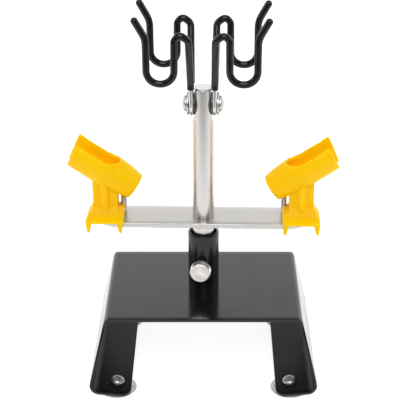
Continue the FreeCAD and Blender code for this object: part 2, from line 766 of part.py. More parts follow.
def make_foot_clip(side, bar_top):
    """The skirt that spreads from the stem over the bar's end, and four tapered legs.

    The skirt has a level shelf on its inner side and slopes down on its outer side.  A scoop
    along the front and one along the rear leave a low rim and a hollow beside the rib.  Behind
    the stem the skirt reaches outward no further than rear_reach.
    """
    sign = SIDES[side]
    name = side.capitalize()
    half = size("base_wide") / 2
    stem = size("stem_wide") / 2
    rim = size("rim_rise")
    skirt_view = [(-half, 0), (-half, size("shelf_rise")), (-stem, size("shelf_rise")),
                  (-stem, size("skirt_rise")), (stem, size("skirt_rise")), (half, rim), (half, 0)]
    centre = at(sign * size("holder_x"), 0, bar_top)
    skirt = front_pad(f"Skirt{name}", [(sign * out, z) for out, z in skirt_view],
                      named("base_deep"), centre)
    edge = size("base_deep") / 2
    radius = size("scoop_radius")
    lie = Rotation(Vector(0, 1, 0), 90)
    scoops = [cylinder(f"Scoop{name}", f"2 * {named('scoop_radius')}", f"2 * {named('base_wide')}",
                       centre.multiply(at(-2 * half, end * (edge - 1.2), rim + radius, lie)))
              for end in (-1, 1)]
    reach = size("rear_reach")
    trim = box(f"Trim{name}", named("base_wide"), named("base_deep"), f"2 * {named('skirt_rise')}",
               centre.multiply(at(reach if sign > 0 else -reach - 2 * half,
                                  size("stem_deep") / 2, -1)))
    scooped = joined("Cut", f"Scooped{name}", skirt, fused(f"Scoops{name}", *scoops, trim))

    drop = size("leg_drop")
    wide = size("leg_wide")
    tip = wide * 0.55
    pieces = [scooped]
    for x_end in (-1, 1):
        leg_view = [(half, rim), (half - 0.9, 0.9 - drop), (half - 1.5, -drop),
                    (half - tip, -drop), (half - tip - 0.7, 0.9 - drop), (half - wide, 0),
                    (half - wide, rim)]
        for y_end in (-1, 1):
            y = y_end * (size("base_deep") - size("leg_thick")) / 2
            inward = half - reach if (x_end, y_end) == (sign, 1) else 0
            view = [(x_end * (out - inward), z) for out, z in leg_view]
            pieces.append(front_pad(f"Leg{name}", view, named("leg_thick"),
                                    centre.multiply(at(0, y, 0))))
    return fused(f"Clip{name}", *pieces)


def make_holder_fasteners(side):
    """The screw from below the bar into the stem, and the stop pin beside the holder."""
    sign = SIDES[side]
    name = side.capitalize()
    under = size("bar_under")
    head = cylinder(f"ScrewHead{name}", named("holder_head_dia"), named("holder_head_len"),
                    at(sign * size("holder_x"), 0, under - size("holder_head_len") - 0.02))
    shank = cylinder(f"ScrewShank{name}", named("holder_screw_dia"), "20",
                     at(sign * size("holder_x"), 0, under - 1))
    screw = fused(f"HolderScrew{name}", head, shank)
    subpart(screw, f"holder_screw_{side}", TURNED)
    pin = cylinder(f"StopPin{name}", f"{named('stop_dia')} - 0.02",
                   f"{named('stop_rise')} + {named('bar_thick')}",
                   TURNED.multiply(at(sign * size("stop_x"), size("stop_y"), under)))
    subpart(pin, f"stop_pin_{side}")


for side in SIDES:
    make_holder(side)

doc.recompute()


# ---- check and write ---------------------------------------------------------------------------

for obj in doc.Objects:
    if {"Invalid", "Error"} & set(obj.State):
        raise RuntimeError(f"{obj.Name} ({obj.Label}) failed: {obj.State}")
for obj in SUBPARTS:
    shape = obj.Shape
    if shape.isNull() or not shape.isValid():
        raise RuntimeError(f"{obj.Label} has no valid shape")
    shape.exportStep(f"parts/{obj.Label}.step")
    print(f"{obj.Label:26s} solids {len(shape.Solids)}  volume {shape.Volume:10.1f}")
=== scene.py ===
"""Looks of an airbrush holder stand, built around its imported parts, in metres.

A black bent-sheet base on clear suction cups, a bright steel post and crossbar, black dipped wire
hooks and yellow moulded holders.  +X is right, +Y is back and +Z is up along the post.
"""
import json
import math

import bpy
import numpy as np
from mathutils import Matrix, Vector

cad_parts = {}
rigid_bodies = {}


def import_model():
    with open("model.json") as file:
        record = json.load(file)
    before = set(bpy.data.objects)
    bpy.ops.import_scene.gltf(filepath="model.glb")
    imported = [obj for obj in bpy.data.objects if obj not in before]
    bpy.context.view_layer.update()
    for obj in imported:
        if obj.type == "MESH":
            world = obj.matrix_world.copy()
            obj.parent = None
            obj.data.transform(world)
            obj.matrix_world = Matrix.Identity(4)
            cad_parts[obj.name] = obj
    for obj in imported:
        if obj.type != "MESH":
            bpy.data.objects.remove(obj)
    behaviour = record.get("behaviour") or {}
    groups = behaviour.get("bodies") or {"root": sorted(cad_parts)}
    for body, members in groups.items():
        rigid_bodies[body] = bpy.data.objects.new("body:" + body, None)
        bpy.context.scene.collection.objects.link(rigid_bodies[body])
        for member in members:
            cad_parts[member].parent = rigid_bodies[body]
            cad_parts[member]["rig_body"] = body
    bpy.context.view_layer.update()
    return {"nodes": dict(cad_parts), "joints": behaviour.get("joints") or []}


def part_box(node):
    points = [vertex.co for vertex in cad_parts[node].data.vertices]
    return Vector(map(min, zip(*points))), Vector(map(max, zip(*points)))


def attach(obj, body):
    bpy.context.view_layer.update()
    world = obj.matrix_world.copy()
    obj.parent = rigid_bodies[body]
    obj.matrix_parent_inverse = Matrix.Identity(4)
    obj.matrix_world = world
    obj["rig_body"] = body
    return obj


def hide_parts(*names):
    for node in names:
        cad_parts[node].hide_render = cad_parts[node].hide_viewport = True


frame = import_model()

MM = 0.001
SIDES = {"left": -1, "right": 1}
ENDS = {"front": -1, "rear": 1}
SHARP = math.radians(32)

joints = {joint["name"]: joint for joint in frame["joints"]}
bar_axis = Vector(joints["hook_left_tilt"]["axis"])
BAR_TURN = math.atan2(bar_axis.y, bar_axis.x)
PIVOT_Z = joints["hook_left_tilt"]["pos_m"][2]
SCREW_OUT = Vector(joints["thumb_screw_turn"]["axis"])
SCREW_Z = joints["thumb_screw_turn"]["pos_m"][2]


# ---- places ------------------------------------------------------------------------------------

def axes(z_axis, x_hint=(1, 0, 0)):
    """Three columns of a turn whose third axis is z_axis and whose first is nearest x_hint."""
    z = np.array(z_axis, float)
    z /= np.linalg.norm(z)
    y = np.cross(z, np.array(x_hint, float))
    y /= np.linalg.norm(y)
    return np.stack([np.cross(y, z), y, z], axis=1)


def placed(points, turn=None, move=(0, 0, 0)):
    """Points turned by a 3 by 3 matrix and then moved."""
    out = points if turn is None else points @ turn.T
    return out + np.array(move, float)


def about_z(angle):
    """The turn by an angle about +Z."""
    c, s = math.cos(angle), math.sin(angle)
    return np.array([[c, -s, 0], [s, c, 0], [0, 0, 1.0]])


BAR = about_z(BAR_TURN)


# ---- meshes ------------------------------------------------------------------------------------

def piece(name, points, faces, node, material, sharp=SHARP):
    """A mesh object that stands for one CAD node and rides on that node's body."""
    mesh = bpy.data.meshes.new(name)
    mesh.from_pydata(points.tolist(), [], faces)
    return finish_piece(name, mesh, node, material, sharp)


def finish_piece(name, mesh, node, material, sharp=SHARP):
    """Shade, paint and attach a finished mesh."""
    mesh.validate()
    mesh.polygons.foreach_set("use_smooth", np.ones(len(mesh.polygons), bool))
    mesh.set_sharp_from_angle(angle=sharp)
    obj = bpy.data.objects.new(name, mesh)
    bpy.context.scene.collection.objects.link(obj)
    mesh.materials.append(material)
    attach(obj, frame["nodes"][node]["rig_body"])
    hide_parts(node)
    return obj


def wrap(count, around, closed_along=False):
    """Faces over rings of equal length: ring i joins ring i + 1, and each ring is closed."""
    rows = np.arange(count if closed_along else count - 1)
    cols = np.arange(around)
    a, b = np.meshgrid(rows, cols, indexing="ij")
    after = (a + 1) % count
    beside = (b + 1) % around
    quads = np.stack([a * around + b, a * around + beside, after * around + beside,
                      after * around + b], axis=-1)
    return quads.reshape(-1, 4).tolist()


def skinned(grid, closed_along=False):
    """Points and faces of a grid of rings, its two ends closed by a fan about their middles."""
    count, around, _ = grid.shape
    points = grid.reshape(-1, 3)
    faces = wrap(count, around, closed_along)
    if closed_along:
        return points, faces
    first, last = len(points), len(points) + 1
    points = np.vstack([points, grid[0].mean(0), grid[-1].mean(0)])
    base = (count - 1) * around
    for k in range(around):
        step = (k + 1) % around
        faces.append([first, step, k])
        faces.append([last, base + k, base + step])
    return points, faces


def turned(profile, around=96, shape=None, closed_along=False):
    """A profile of (radius, height) spun about +Z; shape(angle, radius, height) may alter both.

    The point at angle a and profile place (r, z) is (r cos a, r sin a, z).  The profile runs
    upward on the outside, so that faces point outwards.
    """
    r, z = np.array(profile, float).T
    angle = np.linspace(0, 2 * math.pi, around, endpoint=False)
    a, rr = np.meshgrid(angle, r, indexing="xy")
    _, zz = np.meshgrid(angle, z, indexing="xy")
    if shape is not None:
        rr, zz = shape(a, rr, zz)
    grid = np.stack([rr * np.cos(a), rr * np.sin(a), zz], axis=-1)
    return skinned(grid, closed_along)


def arc(centre, radius, start, end, steps=6):
    """Points on an arc between two angles in degrees."""
    angle = np.radians(np.linspace(start, end, steps))
    return [(centre[0] + radius * math.cos(a), centre[1] + radius * math.sin(a)) for a in angle]


def tube(path, radii, around=28):
    """A round section of changing radius carried along a path.

    The frame at each point is the last one turned by as much as the path turns, so the section
    never twists: point(i, a) = path[i] + radius[i] (n cos a + b sin a).
    """
    path = np.array(path, float)
    along = np.gradient(path, axis=0)
    along /= np.linalg.norm(along, axis=1)[:, None]
    normal = np.cross(along[0], (0.31, 0.83, 0.46))
    normal /= np.linalg.norm(normal)
    normals = []
    for t in along:
        normal = normal - t * (normal @ t)
        normal /= np.linalg.norm(normal)
        normals.append(normal)
    n = np.array(normals)
    b = np.cross(along, n)
    angle = np.linspace(0, 2 * math.pi, around, endpoint=False)
    ring = n[:, None] * np.cos(angle)[None, :, None] + b[:, None] * np.sin(angle)[None, :, None]
    grid = path[:, None] + ring * np.array(radii, float)[:, None, None]
    return skinned(grid)


def rounded(points, radii, step=0.6 * MM):
    """A path of straight runs through the points, each inner corner an arc of its radius."""
    points = [np.array(p, float) for p in points]
    out = [points[0]]

    def line_to(end):
        gap = np.linalg.norm(end - out[-1])
        for k in range(1, max(1, round(gap / step)) + 1):
            out.append(start + (end - start) * k / max(1, round(gap / step)))

    for before, corner, after, radius in zip(points, points[1:], points[2:], radii):
        back = (before - corner) / np.linalg.norm(before - corner)
        ahead = (after - corner) / np.linalg.norm(after - corner)
        half = math.acos(np.clip(back @ ahead, -1, 1)) / 2
        leg = radius / math.tan(half)
        start = out[-1]
        line_to(corner + back * leg)
        out_dir = (back + ahead) / np.linalg.norm(back + ahead)
        centre = corner + out_dir * radius / math.sin(half)
        begin = corner + back * leg - centre
        finish = corner + ahead * leg - centre
        sweep = math.pi - 2 * half
        steps = max(3, round(sweep * radius / step))
        for k in range(1, steps + 1):
            share = k / steps
            w0, w1 = math.sin((1 - share) * sweep), math.sin(share * sweep)
            out.append(centre + (begin * w0 + finish * w1) / math.sin(sweep))
    start = out[-1]
    line_to(points[-1])
    return np.array(out)


# ---- shader groups -----------------------------------------------------------------------------

def new_group(name, inputs, outputs):
    """A node group with float or vector inputs (name, kind, default) and outputs (name, kind)."""
    group = bpy.data.node_groups.new(name, "ShaderNodeTree")
    for label, kind, default in inputs:
        socket = group.interface.new_socket(label, in_out="INPUT", socket_type=kind)
        socket.default_value = default
    for label, kind in outputs:
        group.interface.new_socket(label, in_out="OUTPUT", socket_type=kind)
    return group, group.nodes.new("NodeGroupInput"), group.nodes.new("NodeGroupOutput")


def node(tree, kind, **values):
    """A shader node with attributes and input values set by name."""
    made = tree.nodes.new(kind)
    for key, value in values.items():
        if hasattr(made, key):
            setattr(made, key, value)
        else:
            made.inputs[key.replace("_", " ")].default_value = value
    return made


def remap(tree, source, low, high, out_low, out_high):
    """A Map Range node fed by source; limits may be numbers or sockets."""
    made = node(tree, "ShaderNodeMapRange")
    tree.links.new(source, made.inputs["Value"])
    for name, value in (("From Min", low), ("From Max", high), ("To Min", out_low),
                        ("To Max", out_high)):
        if isinstance(value, (int, float)):
            made.inputs[name].default_value = value
        else:
            tree.links.new(value, made.inputs[name])
    return made.outputs["Result"]


def mottle_group():
    """Soft cloudy variation between Low and High, of a grain size given by Scale."""
    group, into, out = new_group(
        "mottle", [("Scale", "NodeSocketFloat", 60.0), ("Low", "NodeSocketFloat", 0.0),
                   ("High", "NodeSocketFloat", 1.0)], [("Value", "NodeSocketFloat")])
    where = node(group, "ShaderNodeTexCoord")
    noise = node(group, "ShaderNodeTexNoise", Detail=4.0, Roughness=0.55)
    group.links.new(where.outputs["Object"], noise.inputs["Vector"])
    group.links.new(into.outputs["Scale"], noise.inputs["Scale"])
    value = remap(group, noise.outputs["Fac"], 0.32, 0.68, into.outputs["Low"],
                  into.outputs["High"])
    group.links.new(value, out.inputs["Value"])
    return group


def lines_group():
    """Fine drawn or brushed lines: noise stretched by the vector Stretch."""
    group, into, out = new_group(
        "drawn_lines", [("Stretch", "NodeSocketVector", (1.0, 1.0, 1.0)),
                        ("Low", "NodeSocketFloat", 0.0), ("High", "NodeSocketFloat", 1.0)],
        [("Value", "NodeSocketFloat")])
    where = node(group, "ShaderNodeTexCoord")
    spread = node(group, "ShaderNodeVectorMath", operation="MULTIPLY")
    noise = node(group, "ShaderNodeTexNoise", Scale=1.0, Detail=5.0, Roughness=0.7)
    group.links.new(where.outputs["Object"], spread.inputs[0])
    group.links.new(into.outputs["Stretch"], spread.inputs[1])
    group.links.new(spread.outputs["Vector"], noise.inputs["Vector"])
    value = remap(group, noise.outputs["Fac"], 0.3, 0.7, into.outputs["Low"],
                  into.outputs["High"])
    group.links.new(value, out.inputs["Value"])
    return group


def rub_group():
    """Mask of rubbed outer edges: where the surface is sharply convex, broken up by noise."""
    group, into, out = new_group("edge_rub", [("Amount", "NodeSocketFloat", 0.5)],
                                 [("Mask", "NodeSocketFloat")])
    shape = node(group, "ShaderNodeNewGeometry")
    where = node(group, "ShaderNodeTexCoord")
    noise = node(group, "ShaderNodeTexNoise", Scale=420.0, Detail=3.0)
    group.links.new(where.outputs["Object"], noise.inputs["Vector"])
    convex = remap(group, shape.outputs["Pointiness"], 0.54, 0.66, 0.0, 1.0)
    broken = node(group, "ShaderNodeMath", operation="MULTIPLY")
    group.links.new(convex, broken.inputs[0])
    group.links.new(noise.outputs["Fac"], broken.inputs[1])
    scaled = node(group, "ShaderNodeMath", operation="MULTIPLY", use_clamp=True)
    group.links.new(broken.outputs["Value"], scaled.inputs[0])
    group.links.new(into.outputs["Amount"], scaled.inputs[1])
    group.links.new(scaled.outputs["Value"], out.inputs["Mask"])
    return group


MOTTLE = mottle_group()
LINES = lines_group()
RUB = rub_group()


def use(tree, group, **values):
    """A copy of a node group in a material, with its own input values."""
    made = tree.nodes.new("ShaderNodeGroup")
    made.node_tree = group
    for key, value in values.items():
        made.inputs[key].default_value = value
    return made.outputs[0]


def mixed(tree, mask, first, second):
    """Colour mix of two colours or sockets by a mask."""
    made = node(tree, "ShaderNodeMix", data_type="RGBA")
    tree.links.new(mask, made.inputs["Factor"])
    for slot_name, value in (("A", first), ("B", second)):
        socket = [s for s in made.inputs if s.name == slot_name and s.type == "RGBA"][0]
        if isinstance(value, tuple):
            socket.default_value = (*value, 1.0)
        else:
            tree.links.new(value, socket)
    return [s for s in made.outputs if s.type == "RGBA"][0]


def bump(tree, height, strength, distance, under=None):
    """A Bump node over a height, and over another bump's normal when given."""
    made = node(tree, "ShaderNodeBump", Strength=strength, Distance=distance)
    tree.links.new(height, made.inputs["Height"])
    if under is not None:
        tree.links.new(under, made.inputs["Normal"])
    return made.outputs["Normal"]


def material(name, metallic=0.0, **fixed):
    """A new Principled material: returns it, its tree and its shader node."""
    made = bpy.data.materials.new(name)
    made.use_nodes = True
    tree = made.node_tree
    shader = tree.nodes["Principled BSDF"]
    shader.inputs["Metallic"].default_value = metallic
    for key, value in fixed.items():
        shader.inputs[key.replace("_", " ")].default_value = value
    return made, tree, shader


def feed(tree, shader, color, roughness, normal):
    """Link the colour, the roughness and the normal into a shader."""
    tree.links.new(color, shader.inputs["Base Color"])
    tree.links.new(roughness, shader.inputs["Roughness"])
    tree.links.new(normal, shader.inputs["Normal"])


def powder_coat(name, shine, rough_low, rough_high):
    """Black baked coat: faint orange peel, uneven sheen, lighter rubbed edges."""
    made, tree, shader = material(name, Specular_IOR_Level=shine)
    cloud = use(tree, MOTTLE, Scale=34.0, Low=0.0, High=1.0)
    rub = use(tree, RUB, Amount=0.35)
    body = mixed(tree, cloud, (0.004, 0.004, 0.005), (0.009, 0.009, 0.010))
    color = mixed(tree, rub, body, (0.11, 0.11, 0.11))
    rough = use(tree, MOTTLE, Scale=55.0, Low=rough_low, High=rough_high)
    peel = use(tree, MOTTLE, Scale=900.0, Low=0.0, High=1.0)
    feed(tree, shader, color, rough, bump(tree, peel, 0.06, 0.00004))
    return made


def steel(name, color, stretch, low, high, rough_low, rough_high):
    """Bright steel with lines along one direction, cloudy sheen and paler rubbed edges."""
    made, tree, shader = material(name, metallic=1.0)
    lines = use(tree, LINES, Stretch=stretch, Low=0.0, High=1.0)
    cloud = use(tree, MOTTLE, Scale=70.0, Low=0.0, High=1.0)
    rub = use(tree, RUB, Amount=0.6)
    dark = tuple(c * low for c in color)
    pale = tuple(min(1.0, c * high) for c in color)
    base = mixed(tree, lines, dark, pale)
    clouded = mixed(tree, cloud, base, color)
    shown = mixed(tree, rub, clouded, tuple(min(1.0, c * 1.1) for c in color))
    rough = use(tree, LINES, Stretch=stretch, Low=rough_low, High=rough_high)
    feed(tree, shader, shown, rough, bump(tree, lines, 0.12, 0.00003))
    return made


def turned_face(name, color, centre, axis_turn):
    """Satin nickel whose flat face has rings left by the lathe, centred on the screw."""
    made, tree, shader = material(name, metallic=1.0)
    where = node(tree, "ShaderNodeTexCoord")
    centred = node(tree, "ShaderNodeMapping", vector_type="TEXTURE")
    centred.inputs["Location"].default_value = centre
    centred.inputs["Rotation"].default_value = axis_turn
    tree.links.new(where.outputs["Object"], centred.inputs["Vector"])
    rings = node(tree, "ShaderNodeTexWave", wave_type="RINGS", rings_direction="Z", Scale=900.0,
                 Distortion=1.2, Detail=2.0)
    tree.links.new(centred.outputs["Vector"], rings.inputs["Vector"])
    cloud = use(tree, MOTTLE, Scale=160.0, Low=0.0, High=1.0)
    color_out = mixed(tree, cloud, tuple(c * 0.86 for c in color), color)
    rough = use(tree, MOTTLE, Scale=240.0, Low=0.26, High=0.42)
    feed(tree, shader, color_out, rough, bump(tree, rings.outputs["Fac"], 0.18, 0.00002))
    return made


def vinyl_dip():
    """Soft black dip on the wires: satin, slightly uneven, dusty in places."""
    made, tree, shader = material("black_vinyl_dip", Specular_IOR_Level=0.3)
    cloud = use(tree, MOTTLE, Scale=120.0, Low=0.0, High=1.0)
    color = mixed(tree, cloud, (0.006, 0.006, 0.007), (0.013, 0.013, 0.014))
    rough = use(tree, MOTTLE, Scale=90.0, Low=0.11, High=0.20)
    waves = use(tree, MOTTLE, Scale=260.0, Low=0.0, High=1.0)
    fine = use(tree, MOTTLE, Scale=1500.0, Low=0.0, High=1.0)
    feed(tree, shader, color, rough,
         bump(tree, fine, 0.08, 0.00004, bump(tree, waves, 0.14, 0.0002)))
    return made


def yellow_plastic():
    """Moulded yellow plastic: slightly translucent, fine mould grain, faint flow marks."""
    made, tree, shader = material("yellow_plastic", Subsurface_Weight=0.45,
                                  Subsurface_Scale=0.006, Specular_IOR_Level=0.12)
    shader.inputs["Subsurface Radius"].default_value = (1.0, 0.6, 0.08)
    flow = use(tree, MOTTLE, Scale=48.0, Low=0.0, High=1.0)
    rub = use(tree, RUB, Amount=0.4)
    color = mixed(tree, flow, (1.0, 0.56, 0.0), (1.0, 0.60, 0.0))
    shown = mixed(tree, rub, color, (1.0, 0.68, 0.05))
    rough = use(tree, MOTTLE, Scale=150.0, Low=0.36, High=0.48)
    grain = use(tree, MOTTLE, Scale=1800.0, Low=0.0, High=1.0)
    feed(tree, shader, shown, rough, bump(tree, grain, 0.08, 0.00005))
    return made


def clear_vinyl():
    """Clear grey soft vinyl of the suction cups, a little cloudy."""
    made, tree, shader = material("clear_grey_vinyl", Transmission_Weight=0.55, IOR=1.46)
    cloud = use(tree, MOTTLE, Scale=140.0, Low=0.0, High=1.0)
    color = mixed(tree, cloud, (0.62, 0.63, 0.64), (0.78, 0.79, 0.80))
    rough = use(tree, MOTTLE, Scale=110.0, Low=0.22, High=0.38)
    wave = use(tree, MOTTLE, Scale=320.0, Low=0.0, High=1.0)
    feed(tree, shader, color, rough, bump(tree, wave, 0.1, 0.0002))
    return made


COAT = powder_coat("black_powder_coat", 0.36, 0.12, 0.19)
# Painted shade: a duller copy of the black coat for the sheet's inner faces. Its weaker sheen
# stands in for the shaded floor under the base that those faces reflect.
SHADED_INNER_COAT = powder_coat("inner_coat_painted_shade", 0.10, 0.26, 0.36)
POST_STEEL = steel("post_steel", (0.60, 0.585, 0.57), (900, 900, 14), 0.84, 1.10, 0.24, 0.36)
BAR_STEEL = steel("bar_steel", (0.57, 0.555, 0.54), (12, 900, 900), 0.88, 1.07, 0.30, 0.44)
ZINC = steel("zinc_plate", (0.56, 0.56, 0.55), (300, 300, 300), 0.86, 1.08, 0.30, 0.44)
SCREW_STEEL = steel("screw_steel", (0.58, 0.58, 0.57), (300, 300, 300), 0.8, 1.1, 0.34, 0.5)
WIRE_STEEL = steel("wire_steel", (0.60, 0.60, 0.59), (400, 400, 60), 0.82, 1.08, 0.16, 0.28)
# Painted shade: the inner washers are real, but their dark colour stands in for the shaded gap
# between the post's flat and the wire loop.
SHADE_GAP_STEEL = steel("dark_steel", (0.16, 0.15, 0.14), (300, 300, 300), 0.7, 1.2, 0.35, 0.5)
KNOB_NICKEL = turned_face("knob_nickel", (0.83, 0.79, 0.77), (0, 0, SCREW_Z),
                          (math.radians(90), 0, math.atan2(SCREW_OUT.x, -SCREW_OUT.y)))
DIP = vinyl_dip()
YELLOW = yellow_plastic()
CUP = clear_vinyl()


# ---- base --------------------------------------------------------------------------------------

SHEET = 2.0 * MM
UPPER_BEND_X = 75.5 * MM
UPPER_BEND = 4.5 * MM
LOWER_BEND = 8.0 * MM
LOWER_BEND_Z = 13.4 * MM
FLANGE_SLOPE = math.radians(6.0)
FLANGE_TIP = 59.0 * MM
FLANGE_CORNER = 9.0 * MM
PLATE_DEPTH = 119.5 * MM
base_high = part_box("base_plate")[1]


def sheet_line(inset):
    """Half of the base's section, from the middle of the plate to the flange's edge.

    Flat plate, arc, straight side tangent to both arcs, arc, sloping flange: the line at a depth
    inset below the outer face has arcs smaller by the inset.
    """
    upper = np.array([UPPER_BEND_X, base_high.z - UPPER_BEND])
    lower = np.array([base_high.x - LOWER_BEND, LOWER_BEND_Z])
    gap = lower - upper
    flare = math.acos((UPPER_BEND - LOWER_BEND) / np.linalg.norm(gap)) + math.atan2(gap[1], gap[0])
    end = FLANGE_SLOPE - math.pi / 2

    def bend(centre, radius, start, stop, steps):
        angle = np.linspace(start, stop, steps)
        return centre + (radius - inset) * np.stack([np.cos(angle), np.sin(angle)], axis=1)

    plate = np.stack([np.linspace(0, upper[0], 12), np.full(12, base_high.z - inset)], axis=1)
    top = bend(upper, UPPER_BEND, math.pi / 2, flare, 12)
    low = bend(lower, LOWER_BEND, flare, end, 18)
    side = top[-1] + (low[0] - top[-1]) * np.linspace(0, 1, 16)[1:-1, None]
    run = low[-1, 0] - FLANGE_TIP
    share = np.sin(np.linspace(0, math.pi / 2, 26))[1:]
    flange = low[-1] - run * share[:, None] * np.array([1, math.tan(FLANGE_SLOPE)])
    return np.vstack([plate, top[1:], side, low, flange])


def half_depth(line):
    """Half of the sheet's depth at each place: narrow at the plate, wider down the side.

    The flange's inner corners are quarter circles: near the edge the depth shrinks by
    R - sqrt(R^2 - (R - d)^2), where d is the distance from the edge.
    """
    foot = base_high.y
    z_top = base_high.z - UPPER_BEND
    share = np.clip((z_top - line[:, 1]) / (z_top - LOWER_BEND_Z), 0, 1)
    half = PLATE_DEPTH / 2 + (foot - PLATE_DEPTH / 2) * share
    on_flange = (line[:, 1] < LOWER_BEND_Z) & (line[:, 0] < FLANGE_TIP + FLANGE_CORNER)
    left = np.clip(FLANGE_CORNER - (line[:, 0] - FLANGE_TIP), 0, FLANGE_CORNER)
    corner = FLANGE_CORNER - np.sqrt(FLANGE_CORNER ** 2 - left ** 2)
    return half - np.where(on_flange, corner, 0)


def make_base():
    """The bent sheet: its middle surface as a grid, thickened, with eased edges."""
    line = sheet_line(SHEET / 2)
    half = half_depth(line)
    line = np.vstack([line[:0:-1] * (-1, 1), line])
    half = np.concatenate([half[:0:-1], half])
    width = 25
    across = np.linspace(-1, 1, width)
    grid = np.stack([np.broadcast_to(line[:, 0, None], (len(line), width)),
                     half[:, None] * across[None, :],
                     np.broadcast_to(line[:, 1, None], (len(line), width))], axis=-1)
    rows, cols = np.meshgrid(np.arange(len(line) - 1), np.arange(width - 1), indexing="ij")
    corner = rows * width + cols
    faces = np.stack([corner, corner + width, corner + width + 1, corner + 1], axis=-1)
    obj = piece("bent_base", grid.reshape(-1, 3), faces.reshape(-1, 4).tolist(), "base_plate",
                COAT)
    thick = obj.modifiers.new("sheet", "SOLIDIFY")
    thick.thickness = SHEET
    thick.offset = 0.0
    # The inner faces take the duller copy of the coat: painted shade for the shaded floor they
    # reflect.
    obj.data.materials.append(SHADED_INNER_COAT)
    thick.material_offset = 1
    thick.use_even_offset = True
    ease = obj.modifiers.new("eased_edges", "BEVEL")
    ease.width = 0.35 * MM
    ease.segments = 3
    ease.limit_method = "ANGLE"
    ease.angle_limit = math.radians(60)


# ---- feet --------------------------------------------------------------------------------------

def cross_edge(angle, arm, half):
    """Distance from the middle to the outline of a cross with arms of one length and width."""
    c, s = np.abs(np.cos(angle)) + 1e-9, np.abs(np.sin(angle)) + 1e-9
    return np.maximum(np.minimum(arm / c, half / s), np.minimum(half / c, arm / s))


def hex_edge(angle, across):
    """Distance from the middle to a hexagon's outline of a given half width across flats."""
    fold = np.mod(angle, math.pi / 3) - math.pi / 6
    return across / np.cos(fold)


def driven_head(edge, profile, crown, depth, around=144):
    """A screw head: an outer profile from the shank's foot up to the crown, then a recess.

    The rim ring lies on the crown at the recess's outline edge(angle); the wall goes down by
    depth while the outline shrinks to 0.82, and the floor dips to a point.
    """
    angle = np.linspace(0, 2 * math.pi, around, endpoint=False)
    outline = edge(angle)
    r, z = np.array(profile, float).T
    rings = [np.stack([ri * np.cos(angle), ri * np.sin(angle), np.full(around, zi)], axis=-1)
             for ri, zi in zip(r, z)]
    last_r = r[-1]
    for share, drop in ((0.5, 0.0), (0.92, 0.0), (1.0, 0.02), (1.06, 0.12), (1.1, 1.0)):
        if share < 1:
            radius = last_r + (outline * 1.03 - last_r) * share
        else:
            radius = outline * (2.0 - share)
        rings.append(np.stack([radius * np.cos(angle), radius * np.sin(angle),
                               np.full(around, crown - depth * drop)], axis=-1))
    grid = np.array(rings)
    return skinned(grid)


def make_feet():
    """Four suction cups, each held by a cross-head screw through the sloping flange."""
    for end in ENDS:
        for side, sign in SIDES.items():
            name = f"{end}_{side}"
            low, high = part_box(f"suction_cup_{name}")
            middle = (low + high) / 2
            rim = (high.x - low.x) / 2
            top = high.z - 1.0 * MM
            neck = 6.4 * MM
            outside = [(rim - 0.7 * MM, 0), (rim - 0.1 * MM, 0.05 * MM), (rim, 0.45 * MM),
                       (rim - 0.2 * MM, 0.95 * MM), (rim - 1.6 * MM, 1.25 * MM),
                       (rim - 4.5 * MM, 1.9 * MM), (neck + 2.6 * MM, top - 0.8 * MM),
                       (neck + 0.6 * MM, top - 0.35 * MM), (neck, top - 0.1 * MM),
                       (neck - 0.4 * MM, top), (2.3 * MM, top), (2.3 * MM, top - 1.6 * MM)]
            inside = [(2.0 * MM, 1.15 * MM), (rim - 6 * MM, 0.75 * MM), (rim - 2.4 * MM, 0.2 * MM)]
            points, faces = turned(outside + inside, 96, closed_along=True)
            piece(f"cup_{name}", placed(points, move=(middle.x, middle.y, 0)), faces,
                  f"suction_cup_{name}", CUP)

            lean = axes((-sign * math.sin(FLANGE_SLOPE), 0, math.cos(FLANGE_SLOPE)))
            head = 5.95 * MM
            crown = 2.95 * MM
            profile = ([(1.9 * MM, -4.2 * MM), (1.9 * MM, 0.02 * MM), (head - 0.3 * MM, 0.02 * MM),
                        (head, 0.3 * MM), (head, 0.9 * MM)]
                       + arc((head - 2.4 * MM, 0.9 * MM), 2.05 * MM, 30, 80, 7)
                       + [(head * 0.52, crown)])
            points, faces = driven_head(lambda a: cross_edge(a + 0.5 * sign, 3.0 * MM, 0.62 * MM),
                                        profile, crown, 1.5 * MM)
            seat = flange_top(abs(middle.x))
            piece(f"foot_screw_{name}_head", placed(points, lean, (middle.x, middle.y, seat)),
                  faces, f"foot_screw_{name}", SCREW_STEEL)


def flange_top(x):
    """Height of the flange's upper face at a distance from the middle."""
    line = sheet_line(SHEET)
    flange = line[line[:, 1] < LOWER_BEND_Z]
    order = np.argsort(flange[:, 0])
    return float(np.interp(x, flange[order, 0], flange[order, 1]))


# ---- sleeve and thumb screw --------------------------------------------------------------------

def make_sleeve():
    """The welded tube with a rounded rim."""
    low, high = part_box("sleeve")
    outer = max(high.x - low.x, high.y - low.y) / 2
    inner = 10.5 * MM
    r = 0.8 * MM
    wall = ([(outer, low.z), (outer, low.z + 10 * MM), (outer, high.z - 10 * MM)]
            + arc((outer - r, high.z - r), r, 0, 90) + arc((inner + r, high.z - r), r, 90, 180)
            + [(inner, high.z - 10 * MM), (inner, low.z + 5 * MM), (inner, low.z)])
    points, faces = turned(wall, 128, closed_along=True)
    piece("welded_sleeve", points, faces, "sleeve", COAT)


